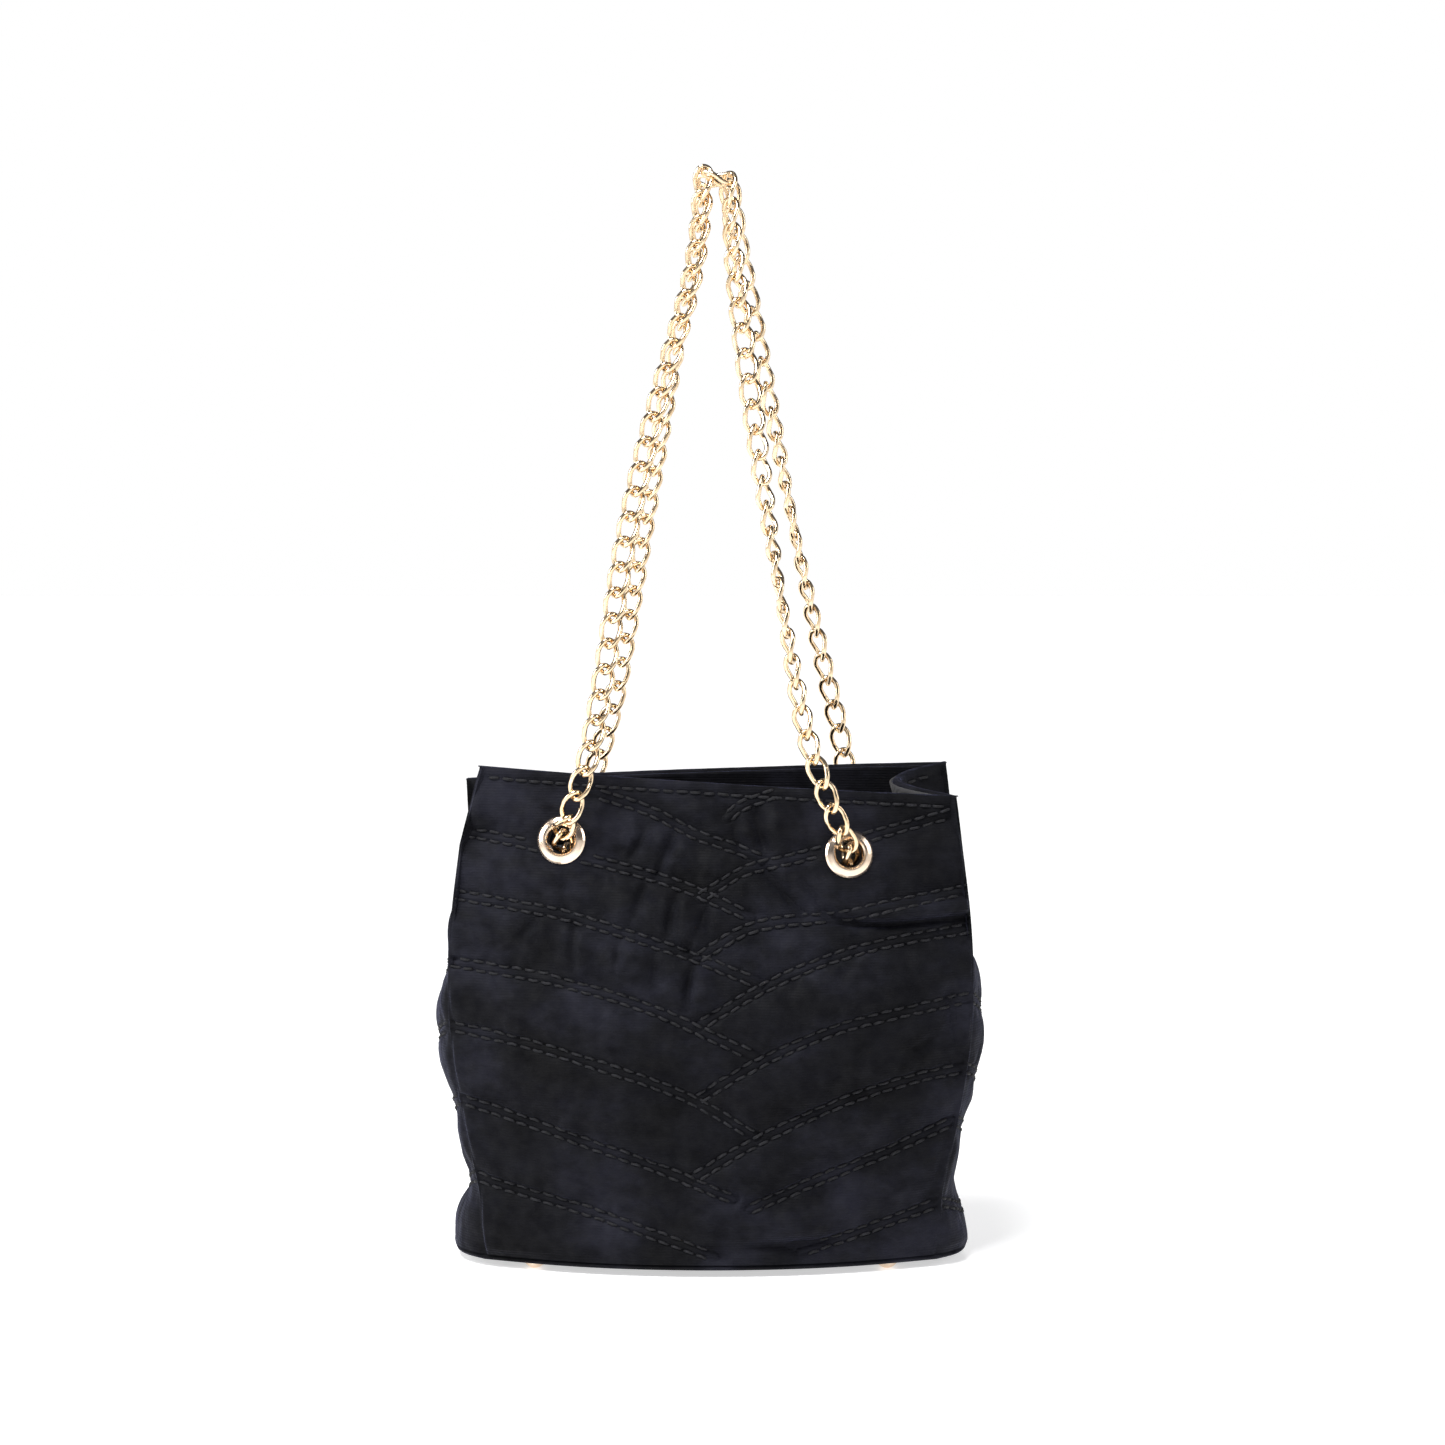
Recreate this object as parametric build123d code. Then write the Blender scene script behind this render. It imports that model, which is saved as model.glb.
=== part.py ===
from build123d import *

# Quilted velvet bucket bag with an oval base, folded side gussets and one curb chain
# threaded through four eyelets. Row frame: +Z up, front towards -Y, feet standing on z = 0.
import math
import os

# ---- Driving dimensions, in millimetres -------------------------------------------------
FOOT_HEIGHT = 3.0
FOOT_RADIUS = 5.0
FOOT_FLAT_RADIUS = 1.8
FOOT_X = 79.0  # feet stand at plus and minus these
FOOT_Y = 39.0
PRONG_RADIUS = 1.5
FOOT_WASHER_RADIUS = 3.4
FOOT_WASHER_THICK = 0.8

BODY_HEIGHT = 219.0  # middle of the mouth's edge above the floor
BASE_HALF_LENGTH = 118.0
BASE_HALF_DEPTH = 60.0
BULGE_HALF_LENGTH = 124.5
PINCH_HALF_LENGTH = 111.0
MOUTH_HALF_LENGTH = 108.5
MOUTH_HALF_DEPTH = 38.0
MOUTH_CORNER_Y = 28.0
FOLD_TIP_X = 82.0  # how far the gusset's fold reaches in at the mouth

PANEL_THICK = 3.0  # velvet, padding and backing, quilted together
LINING_THICK = 0.8
LAYER_GAP = 0.5
SEAM_GAP = 0.5
FACING_DEPTH = 32.0
BASE_THICK = 2.6
BOARD_THICK = 2.4
BOARD_MARGIN = 5.0

EYELET_OUTER_RADIUS = 10.75
EYELET_HOLE_RADIUS = 6.2
EYELET_BARREL_WALL = 0.7
EYELET_FLANGE_THICK = 2.2
EYELET_SEAT_DEPTH = 0.5
EYELET_WASHER_RADIUS = 9.2
EYELET_WASHER_THICK = 0.7
# Each eyelet's centre: x and height.
EYELETS = {
    ("front", "left"): (-66.5, BODY_HEIGHT - 26.0),
    ("front", "right"): (61.5, BODY_HEIGHT - 32.0),
    ("back", "left"): (-61.0, BODY_HEIGHT - 29.0),
    ("back", "right"): (66.0, BODY_HEIGHT - 28.0),
}

SNAP_RADIUS = 4.3
SNAP_THICK = 2.3
SNAP_HEIGHT = BODY_HEIGHT - 30.0
SNAP_SHARE = 0.62  # of the way from the seam to the gusset's next point

LINK_PITCH = 11.8
LINK_WIRE = 2.2
LINK_WIDTH = 10.9
LINK_PLAY = 0.8
LINK_TWIST = 45.0
LINK_HALF_THICK = 2.35
INNER_LINKS = 6

# ---- The body's outer shape -------------------------------------------------------------
FLOOR_EDGE = FOOT_HEIGHT + BASE_THICK
STATION_HEIGHT = 219.0  # the body height that the rows' own heights are stated for
# Each row: height, seam half length, seam y, panel half depth, gusset half length.
PROFILE_ROWS = [
    (FLOOR_EDGE, 102.0, 38.0, BASE_HALF_DEPTH, BASE_HALF_LENGTH),
    (18.0, 104.0, 38.0, BASE_HALF_DEPTH, BASE_HALF_LENGTH - 1.5),
    (34.0, 105.0, 37.5, BASE_HALF_DEPTH - 2.0, PINCH_HALF_LENGTH),
    (62.0, 111.0, 37.0, BASE_HALF_DEPTH, BULGE_HALF_LENGTH - 8.0),
    (95.0, 116.5, 37.0, BASE_HALF_DEPTH + 1.5, BULGE_HALF_LENGTH),
    (125.0, 118.5, 36.5, BASE_HALF_DEPTH, BULGE_HALF_LENGTH - 2.0),
    (155.0, 117.5, 34.5, 55.0, 112.0),
    (190.0, 113.5, 31.0, 46.0, 94.0),
    (230.0, MOUTH_HALF_LENGTH, MOUTH_CORNER_Y, MOUTH_HALF_DEPTH, FOLD_TIP_X),
]
PROFILE = [(row[0] * BODY_HEIGHT / STATION_HEIGHT, *row[1:]) for row in PROFILE_ROWS]
# Edge of the mouth at each seam: how high it stands above or below BODY_HEIGHT.
MOUTH_RISE = {
    ("front", "left"): 6.0,
    ("front", "right"): -7.5,
    ("back", "left"): -5.0,
    ("back", "right"): 3.0,
}
# Each seam's own lean at the mouth, added to its half length.
SEAM_LEAN = {
    ("front", "left"): -4.0,
    ("front", "right"): 0.0,
    ("back", "left"): 4.5,
    ("back", "right"): 0.0,
}
LEAN_START = BODY_HEIGHT - 29.0
LEVEL_STEP = 15.0
LEVEL_PAST = 11.0  # the walls are drawn at least this far past the mouth, then cut to it
LEVEL_COUNT = math.ceil((BODY_HEIGHT + LEVEL_PAST - FLOOR_EDGE) / LEVEL_STEP) + 1
LEVELS = [FLOOR_EDGE + LEVEL_STEP * k for k in range(LEVEL_COUNT)]
PANEL_POWER = 2.1
SIGN = {"left": -1.0, "right": 1.0, "front": -1.0, "back": 1.0}


def profile_at(z, column):
    """A column of PROFILE at height z, on a smooth curve through its rows."""
    rows = PROFILE
    last = len(rows) - 1
    i = 0
    while i < last - 1 and z > rows[i + 1][0]:
        i += 1
    z0, z1 = rows[i][0], rows[i + 1][0]
    v0, v1 = rows[i][column], rows[i + 1][column]

    def slope(k):
        a, b = rows[max(k - 1, 0)], rows[min(k + 1, last)]
        return (b[column] - a[column]) / (b[0] - a[0])

    t = (z - z0) / (z1 - z0)
    m0, m1 = slope(i) * (z1 - z0), slope(i + 1) * (z1 - z0)
    return (
        (2 * t**3 - 3 * t**2 + 1) * v0
        + (t**3 - 2 * t**2 + t) * m0
        + (3 * t**2 - 2 * t**3) * v1
        + (t**3 - t**2) * m1
    )


def seam_corner(z, face, side):
    """Where a panel meets a gusset on the outside, at height z."""
    lean = max(0.0, (z - LEAN_START) / (BODY_HEIGHT - LEAN_START)) * SEAM_LEAN[(face, side)]
    return (SIGN[side] * (profile_at(z, 1) + lean), SIGN[face] * profile_at(z, 2))


def panel_curve(z, face, count=7):
    """Outer line of the front or back panel at height z, from its left to its right seam."""
    left, right = seam_corner(z, face, "left"), seam_corner(z, face, "right")
    depth = profile_at(z, 3) - profile_at(z, 2)
    line = []
    for i in range(count):
        t = -1 + 2 * i / (count - 1)
        x = left[0] + (right[0] - left[0]) * (t + 1) / 2
        line.append((x, SIGN[face] * (profile_at(z, 2) + depth * (1 - abs(t) ** PANEL_POWER))))
    return line


def gusset_curve(z, side):
    """Outer line of a gusset at height z, from its front to its back seam."""
    front, back = seam_corner(z, "front", side), seam_corner(z, "back", side)
    middle = SIGN[side] * profile_at(z, 4)
    outward = (abs(middle) - profile_at(z, 1)) / 14.0
    roundness = 0.62 + 0.12 * max(-1.0, min(1.0, outward))
    line = []
    for i in range(7):
        t = -1 + 2 * i / 6
        corner = front if t < 0 else back
        share = math.cos(t * math.pi / 2) ** (2 * (1 - roundness)) if abs(t) < 1 else 0.0
        line.append((corner[0] + (middle - corner[0]) * share, corner[1] * abs(t)))
    return line


def offset_line(line, distance, inward, start_mitre, end_mitre):
    """The line moved sideways; its ends follow the given mitre directions."""
    moved = []
    for i, p in enumerate(line):
        if i == 0:
            moved.append((p[0] + start_mitre[0] * distance, p[1] + start_mitre[1] * distance))
            continue
        if i == len(line) - 1:
            moved.append((p[0] + end_mitre[0] * distance, p[1] + end_mitre[1] * distance))
            continue
        a, b = line[i - 1], line[i + 1]
        dx, dy = b[0] - a[0], b[1] - a[1]
        size = math.hypot(dx, dy)
        nx, ny = -dy / size, dx / size
        moved.append((p[0] + inward * nx * distance, p[1] + inward * ny * distance))
    return moved


def corner_mitre(z, face, side):
    """Unit step along the seam's mitre, per millimetre of depth into the bag."""
    corner = seam_corner(z, face, side)
    panel = panel_curve(z, face)
    gusset = gusset_curve(z, side)
    p = panel[1] if side == "left" else panel[-2]
    g = gusset[1] if face == "front" else gusset[-2]
    u = (p[0] - corner[0], p[1] - corner[1])
    v = (g[0] - corner[0], g[1] - corner[1])
    lu, lv = math.hypot(*u), math.hypot(*v)
    u, v = (u[0] / lu, u[1] / lu), (v[0] / lv, v[1] / lv)
    mid = (u[0] + v[0], u[1] + v[1])
    lm = math.hypot(*mid)
    half = math.acos(max(-1.0, min(1.0, u[0] * v[0] + u[1] * v[1]))) / 2
    reach = min(1 / math.sin(half), 2.2)
    return (mid[0] / lm * reach, mid[1] / lm * reach), u, v


def shift(line, start, end, gap):
    """Ends of the line drawn back by the seam's gap."""
    out = list(line)
    out[0] = (line[0][0] + start[0] * gap, line[0][1] + start[1] * gap)
    out[-1] = (line[-1][0] + end[0] * gap, line[-1][1] + end[1] * gap)
    return out


def layer_face(z, name, near, far):
    """Flat section of one panel's or gusset's layer, between two depths, at height z."""
    if name in ("front", "back"):
        line = panel_curve(z, name)
        start, along_start, _ = corner_mitre(z, name, "left")
        end, along_end, _ = corner_mitre(z, name, "right")
        inward = 1.0 if name == "front" else -1.0
    else:
        line = gusset_curve(z, name)
        start, _, along_start = corner_mitre(z, "front", name)
        end, _, along_end = corner_mitre(z, "back", name)
        inward = -1.0 if name == "left" else 1.0
    outer = shift(offset_line(line, near, inward, start, end), along_start, along_end, SEAM_GAP / 2)
    inner = shift(offset_line(line, far, inward, start, end), along_start, along_end, SEAM_GAP / 2)
    a = [Vector(x, y, z) for x, y in outer]
    b = [Vector(x, y, z) for x, y in reversed(inner)]
    edges = [Spline(*a), Line(a[-1], b[0]), Spline(*b), Line(b[-1], a[0])]
    return make_face(Wire([e.edge() for e in edges]))


def layer_solid(name, near, far, low):
    """One layer of a panel or gusset, from a height up to past the mouth's edge."""
    heights = [z for z in LEVELS if z >= low - LEVEL_STEP]
    solid = loft([layer_face(z, name, near, far) for z in heights], ruled=True)
    return solid & (Pos(0, 0, low + 200) * Box(600, 600, 400))


def mouth_plane(name):
    """Plane of the mouth's edge along a panel or gusset, its normal pointing up."""
    if name in ("front", "back"):
        ends = [(name, "left"), (name, "right")]
    else:
        ends = [("front", name), ("back", name)]
    points = []
    for face, side in ends:
        x, y = seam_corner(BODY_HEIGHT, face, side)
        points.append(Vector(x, y, BODY_HEIGHT + MOUTH_RISE[(face, side)]))
    along = (points[1] - points[0]).normalized()
    level = Vector(0, 1, 0) if name in ("front", "back") else Vector(1, 0, 0)
    up = along.cross(level)
    if up.Z < 0:
        up = -up
    return Plane(origin=(points[0] + points[1]) * 0.5, z_dir=up)


def below(solid, name, drop=0.0):
    """What lies under the mouth's edge, or under a line that far below it."""
    plane = mouth_plane(name).offset(-drop)
    return solid & (plane * Pos(0, 0, -200) * Box(600, 600, 400))


def above(solid, name, drop):
    plane = mouth_plane(name).offset(-drop)
    return solid & (plane * Pos(0, 0, 200) * Box(600, 600, 400))


# ---- Eyelets ----------------------------------------------------------------------------
def panel_point(x, z, face):
    """Outer point of a panel at a given x and height."""
    line = panel_curve(z, face, 41)
    for a, b in zip(line, line[1:]):
        if a[0] <= x <= b[0]:
            t = (x - a[0]) / (b[0] - a[0])
            return Vector(x, a[1] + (b[1] - a[1]) * t, z)
    raise ValueError("x is off the panel")


def panel_plane(x, z, face):
    """Plane tangent to a panel, its normal pointing out of the bag."""
    reach = 7.0
    along = panel_point(x + reach, z, face) - panel_point(x - reach, z, face)
    rise = panel_point(x, z + reach, face) - panel_point(x, z - reach, face)
    normal = along.cross(rise).normalized()
    if normal.Y * SIGN[face] < 0:
        normal = -normal
    return Plane(origin=panel_point(x, z, face), x_dir=along, z_dir=normal)


WALL_DEPTH = PANEL_THICK + LAYER_GAP + LINING_THICK
SEAT = -EYELET_SEAT_DEPTH
BACK_SEAT = -WALL_DEPTH + 0.25
HOLE_CLEARANCE = 0.1


def disc(plane, low, high, radius):
    """A round block along a plane's normal, between two distances from it."""
    return plane * Pos(0, 0, (low + high) / 2) * Cylinder(radius, high - low)


def eyelet_cut(plane):
    """What a panel and its facing lose at an eyelet: the hole and both pressed seats."""
    hole = disc(plane, -20, 20, EYELET_HOLE_RADIUS + EYELET_BARREL_WALL + HOLE_CLEARANCE)
    front = disc(plane, SEAT, 20, EYELET_OUTER_RADIUS + HOLE_CLEARANCE)
    back = disc(plane, -20, BACK_SEAT, EYELET_WASHER_RADIUS + HOLE_CLEARANCE)
    return hole + front + back


def ring_profile(points):
    """A ring turned about Z from points (radius, height)."""
    closed = points[1:] + points[:1]
    edges = [Line((a[0], 0, a[1]), (b[0], 0, b[1])) for a, b in zip(points, closed)]
    return revolve(make_face(Wire([e.edge() for e in edges])), Axis.Z, 360)


def eyelet(plane):
    """Bevelled flange on the outside with its barrel through the wall, curled at the end."""
    top = SEAT + EYELET_FLANGE_THICK
    end = BACK_SEAT - EYELET_WASHER_THICK - 0.5
    r, wall, rim = EYELET_HOLE_RADIUS, EYELET_BARREL_WALL, EYELET_OUTER_RADIUS
    body = ring_profile([
        (r, end), (r + wall, end), (r + wall, SEAT), (rim, SEAT),
        (rim, SEAT + 0.5), (rim - 0.8, top - 0.9), (rim - 2.6, top - 0.15), (rim - 3.2, top),
        (r + 0.9, top), (r + 0.25, top - 0.5), (r, top - 1.1),
    ])
    return plane * body


def eyelet_washer(plane):
    low = BACK_SEAT - EYELET_WASHER_THICK
    body = disc(plane, low, BACK_SEAT - 0.05, EYELET_WASHER_RADIUS)
    return body - disc(plane, low - 1, BACK_SEAT + 1, EYELET_HOLE_RADIUS + EYELET_BARREL_WALL + 0.05)


EYELET_PLANES = {
    key: panel_plane(x, z, key[0]) for key, (x, z) in EYELETS.items()
}


# ---- Base -------------------------------------------------------------------------------
def oval(z, inset):
    """Base outline at height z, drawn in by a distance, as one closed face."""
    row = PROFILE[0][0]
    points = []
    for name in ("front", "right", "back", "left"):
        line = panel_curve(row, name) if name in ("front", "back") else gusset_curve(row, name)
        if name in ("back", "left"):
            line = line[::-1]
        points += line[:-1]
    moved = []
    count = len(points)
    for i, p in enumerate(points):
        a, b = points[i - 1], points[(i + 1) % count]
        dx, dy = b[0] - a[0], b[1] - a[1]
        size = math.hypot(dx, dy)
        moved.append(Vector(p[0] - dy / size * inset, p[1] + dx / size * inset, z))
    return make_face(Wire([Spline(*moved, periodic=True).edge()]))


def oval_slab(low, high, inset_low, inset_high):
    return loft([oval(low, inset_low), oval(high, inset_high)])


FEET = {
    ("front", "left"): (-FOOT_X, -FOOT_Y),
    ("front", "right"): (FOOT_X, -FOOT_Y),
    ("back", "left"): (-FOOT_X, FOOT_Y),
    ("back", "right"): (FOOT_X, FOOT_Y),
}
BOARD_LOW = FLOOR_EDGE + LAYER_GAP
BOARD_TOP = BOARD_LOW + BOARD_THICK
BASE_LINING_LOW = BOARD_TOP + FOOT_WASHER_THICK + 1.1
BASE_LINING_TOP = BASE_LINING_LOW + LINING_THICK
BASE_LINING_INSET = 5.9


def foot(x, y):
    """Domed foot with a stud that passes up through the base and its board."""
    low = (FOOT_RADIUS**2 - FOOT_FLAT_RADIUS**2 - FOOT_HEIGHT**2) / (2 * FOOT_HEIGHT)
    sphere_radius = math.hypot(FOOT_RADIUS, low)
    dome = Pos(0, 0, FOOT_HEIGHT + low) * Sphere(sphere_radius)
    dome &= Pos(0, 0, FOOT_HEIGHT / 2) * Cylinder(FOOT_RADIUS, FOOT_HEIGHT)
    stud_top = BOARD_TOP + FOOT_WASHER_THICK + 0.7
    stud = Pos(0, 0, (FOOT_HEIGHT - 1 + stud_top) / 2) * Cylinder(PRONG_RADIUS, stud_top - FOOT_HEIGHT + 1)
    return Pos(x, y, 0) * (dome + stud)


def foot_holes(low, high):
    holes = None
    for x, y in FEET.values():
        hole = Pos(x, y, (low + high) / 2) * Cylinder(PRONG_RADIUS + 0.05, high - low)
        holes = hole if holes is None else holes + hole
    return holes


def foot_washer(x, y):
    ring = Cylinder(FOOT_WASHER_RADIUS, FOOT_WASHER_THICK - 0.05)
    ring -= Cylinder(PRONG_RADIUS + 0.05, 3)
    return Pos(x, y, BOARD_TOP + 0.05 + FOOT_WASHER_THICK / 2) * ring


# ---- Snaps inside the gussets' folds ----------------------------------------------------
def snap_plane(face, side):
    """Plane on a gusset's outside near its seam, its normal pointing into the fold."""
    line = gusset_curve(SNAP_HEIGHT, side)
    corner, step = (line[0], line[1]) if face == "front" else (line[-1], line[-2])
    lower = gusset_curve(SNAP_HEIGHT - 6, side)
    upper = gusset_curve(SNAP_HEIGHT + 6, side)
    k = 0 if face == "front" else -1
    j = 1 if face == "front" else -2
    along = Vector(step[0] - corner[0], step[1] - corner[1], 0)
    point = Vector(corner[0], corner[1], SNAP_HEIGHT) + along * SNAP_SHARE
    rise = Vector(
        (upper[k][0] + upper[j][0] - lower[k][0] - lower[j][0]) / 2,
        (upper[k][1] + upper[j][1] - lower[k][1] - lower[j][1]) / 2, 12)
    normal = along.cross(rise).normalized()
    if normal.X * SIGN[side] < 0:
        normal = -normal
    return Plane(origin=point, x_dir=along, z_dir=normal)


def snap_cut(plane):
    return disc(plane, -0.35, 12, SNAP_RADIUS + 0.1) + disc(plane, -20, 1, 1.1)


def snap_stud(plane):
    base = disc(plane, -0.35, 0.9, SNAP_RADIUS)
    knob = disc(plane, 0.9, SNAP_THICK, 1.7)
    return base + knob + disc(plane, -PANEL_THICK, 0, 1.0)


def snap_socket(plane):
    base = disc(plane, -0.35, 1.9, SNAP_RADIUS)
    return base - disc(plane, 0.5, 3, 1.9) + disc(plane, -PANEL_THICK, 0, 1.0)


# ---- Chain ------------------------------------------------------------------------------
def link_halves():
    """The two halves of a link's centre line: straight runs joined by tangent arcs."""
    half_length = (LINK_PITCH + LINK_WIRE + LINK_PLAY) / 2
    half_width = (LINK_WIDTH - LINK_WIRE) / 2
    end_y, side_x = 0.40 * half_width, 0.42 * half_length
    flat = [
        (half_length, -end_y), (half_length, end_y), (side_x, half_width), (-side_x, half_width),
        (-half_length, end_y), (-half_length, -end_y), (-side_x, -half_width), (side_x, -half_width),
    ]
    corners = []
    for x, y in flat:
        turn = math.radians(LINK_TWIST) * x / half_length
        corners.append(Vector(x, y * math.cos(turn), y * math.sin(turn)))
    halves = []
    for first in (0, 4):
        start = (corners[first] + corners[first + 1]) * 0.5
        finish = (corners[(first + 4) % 8] + corners[(first + 5) % 8]) * 0.5
        bends = [corners[(first + k) % 8] for k in range(1, 5)]
        radii = []
        for k in range(1, 5):
            a, b, c = (corners[(first + k + s) % 8] for s in (-1, 0, 1))
            turn = math.radians((b - a).get_angle(c - b))
            radii.append(0.47 * min((b - a).length, (c - b).length) / math.tan(turn / 2))
        halves.append(FilletPolyline(start, *bends, finish, radius=radii))
    return halves


def curb_link():
    """One twisted link about the origin, its length along X and its flat side facing Z."""
    halves = [
        sweep(Plane(origin=path @ 0, z_dir=path % 0) * Circle(LINK_WIRE / 2), path=path)
        for path in link_halves()
    ]
    return (halves[0] + halves[1]) & Box(40, 40, 2 * LINK_HALF_THICK)


def smooth_route(points, steps=40):
    """Points along a smooth curve through the given ones."""
    out = []
    for i in range(len(points) - 1):
        p0, p1 = points[max(i - 1, 0)], points[i]
        p2, p3 = points[i + 1], points[min(i + 2, len(points) - 1)]
        for s in range(steps):
            t = s / steps
            out.append(
                (p1 * 2 + (p2 - p0) * t + (p0 * 2 - p1 * 5 + p2 * 4 - p3) * t**2
                 + (p1 * 3 - p0 - p2 * 3 + p3) * t**3) * 0.5
            )
    return out + [points[-1]]


def walk(route, chord, count):
    """Joints a chord apart along a route from its start; None for those past its end."""
    joints = [route[0]]
    k = 0
    while len(joints) <= count:
        while k < len(route) and (route[k] - joints[-1]).length < chord:
            k += 1
        if k == len(route):
            return None
        a, b = route[k - 1], route[k]
        low, high = 0.0, 1.0
        for _ in range(30):
            t = (low + high) / 2
            if ((a + (b - a) * t) - joints[-1]).length < chord:
                low = t
            else:
                high = t
        joints.append(a + (b - a) * high)
    return joints


def chain_joints(route, count):
    """Joints of a chain of count links that ends exactly at the route's end."""
    low, high = LINK_PITCH * 0.8, LINK_PITCH * 1.2
    for _ in range(50):
        chord = (low + high) / 2
        if walk(route, chord, count) is None:
            high = chord
        else:
            low = chord
    joints = walk(route, low, count)
    joints[-1] = route[-1]
    return joints


def place_link(link, start, end, roll, across):
    """The link between two joints; its flat faces `across` at roll 0."""
    along = (end - start).normalized()
    facing = (across - along * across.dot(along)).normalized()
    side = facing.cross(along)
    a = math.radians(roll)
    turned = side * math.cos(a) + facing * math.sin(a)
    return Plane(origin=(start + end) * 0.5, x_dir=along, z_dir=along.cross(turned)) * link


# How the links at each eyelet lie: (climb above level, turn towards +X, roll), in degrees, for
# the link in the hole and the next two, then the third one's roll.
EYELET_LINKS = {
    ("front", "left"): [(40.0, -8.0, 24.0), (42.0, 24.0, 18.0), (67.0, 60.0, 0.0), -2.0],
    ("front", "right"): [(38.5, -3.5, 49.5), (46.5, -29.5, 17.3), (61.8, -59.8, -3.4), -11.7],
    ("back", "left"): [(36.0, -4.0, 34.0), (54.0, 14.0, 19.0), (70.5, 56.0, 2.0), -8.0],
    ("back", "right"): [(40.0, 10.0, 23.0), (45.0, -9.0, 15.0), (71.0, -20.0, 0.0), -12.0],
}
HOLE_LINK_OUT = 3.5  # its outer joint in front of the middle of the wall
HOLE_LINK_UP = 2.2
EYELET_CHORD = 11.65


def heading(face, climb, turn):
    """Unit step out of the bag, climbing above level and turned towards +X."""
    rise, yaw = math.radians(climb), math.radians(turn)
    level = math.cos(rise)
    return Vector(math.sin(yaw) * level, SIGN[face] * math.cos(yaw) * level, math.sin(rise))


def hole_joints(face, side):
    """Outer and inner joints of the link that passes through an eyelet."""
    plane = EYELET_PLANES[(face, side)]
    centre = plane.origin - plane.z_dir * (WALL_DEPTH / 2)
    climb, turn, _ = EYELET_LINKS[(face, side)][0]
    outer = centre + plane.z_dir * HOLE_LINK_OUT + Vector(0, 0, HOLE_LINK_UP)
    return outer, outer - heading(face, climb, turn) * LINK_PITCH


# Where each strand runs: (x, distance in front of or behind the middle, height above the mouth).
ROUTES = {
    ("front", "left"): [
        (-53.5, 51.5, 13.0), (-47.0, 46.5, 48.0), (-38.5, 38.0, 103.0), (-27.0, 29.5, 155.0),
        (-11.0, 20.0, 213.0), (-5.5, 15.0, 241.0),
    ],
    ("front", "right"): [
        (49.0, 55.4, 0.5), (44.0, 54.0, 15.0), (40.0, 50.6, 31.0), (35.0, 45.5, 58.0),
        (28.4, 39.0, 98.0), (21.8, 31.5, 142.0), (14.0, 22.0, 201.0), (10.0, 15.5, 237.0),
    ],
    ("back", "left"): [
        (-51.0, 51.0, 11.0), (-44.0, 46.0, 39.0), (-32.8, 38.0, 103.0), (-23.0, 29.5, 157.0),
        (-12.5, 21.0, 213.0), (-6.5, 15.5, 241.0),
    ],
    ("back", "right"): [
        (61.0, 52.5, 12.0), (52.7, 47.5, 47.0), (41.5, 39.5, 96.0), (30.0, 31.0, 154.0),
        (17.5, 20.5, 215.0), (12.0, 15.5, 241.0),
    ],
}
APEX_Y = 10.0
APEX = {
    ("front", "left"): (-3.0, 272.0),
    ("front", "right"): (8.3, 269.0),
    ("back", "left"): (-3.4, 271.0),
    ("back", "right"): (8.1, 268.0),
}
STRAND_LINKS = {
    ("front", "left"): 27,
    ("front", "right"): 27,
    ("back", "left"): 27,
    ("back", "right"): 26,
}
# Roll of each strand's top link, which the links below it turn towards one by one.
TOP_ROLL = {
    ("front", "left"): -33.0,
    ("front", "right"): -247.0,
    ("back", "left"): -71.0,
    ("back", "right"): -194.0,
}
# The link that joins a loop's two strands: its roll, and how far it hangs off their ends.
APEX_LINK = {
    "front": (103.5, (1.0, 0.05, -1.45)),
    "back": (79.0, (-1.2, -1.2, -1.45)),
}
STRAND_PARTS = {"first": (0, 1), "lower": (1, 8), "middle": (8, 16), "upper": (16, None)}


def strand_joints(face, side):
    sign = SIGN[face]
    first = [hole_joints(face, side)[0]]
    for climb, turn, _ in EYELET_LINKS[(face, side)][1:3]:
        first.append(first[-1] + heading(face, climb, turn) * EYELET_CHORD)
    route = [Vector(x, sign * y, BODY_HEIGHT + up) for x, y, up in ROUTES[(face, side)]]
    x, up = APEX[(face, side)]
    points = [first[-1]] + route + [Vector(x, sign * APEX_Y, BODY_HEIGHT + up)]
    rest = chain_joints(smooth_route(points), STRAND_LINKS[(face, side)] - 2)
    return first + rest[1:]


def strand_rolls(face, side):
    """Each link's roll: set by hand at the eyelet, then turning steadily to the top link's."""
    turns = EYELET_LINKS[(face, side)]
    count = STRAND_LINKS[(face, side)]
    step = (TOP_ROLL[(face, side)] - turns[3]) / (count - 3)
    return [turns[1][2], turns[2][2]] + [turns[3] + step * k for k in range(count - 2)]


def inner_rolls(side):
    """Rolls of the slack run, from the front hole's link to the back hole's, half a turn on."""
    start = -EYELET_LINKS[("front", side)][0][2]
    end = EYELET_LINKS[("back", side)][0][2] - 180
    last = INNER_LINKS + 1
    return [start + (end - start) * k / last for k in range(last + 1)]


def inner_joints(side):
    """Slack run inside the bag between the front and back eyelets."""
    start = hole_joints("front", side)[1]
    end = hole_joints("back", side)[1]
    low, high = 2.0, 30.0
    for _ in range(40):
        sag = (low + high) / 2
        points = []
        for k in range(5):
            t = k / 4
            dip = sag * 4 * t * (1 - t)
            points.append(start + (end - start) * t - Vector(0, 0, dip))
        joints = chain_joints(smooth_route(points), INNER_LINKS)
        if (joints[1] - joints[0]).length < LINK_PITCH:
            low = sag
        else:
            high = sag
    return joints


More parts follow.
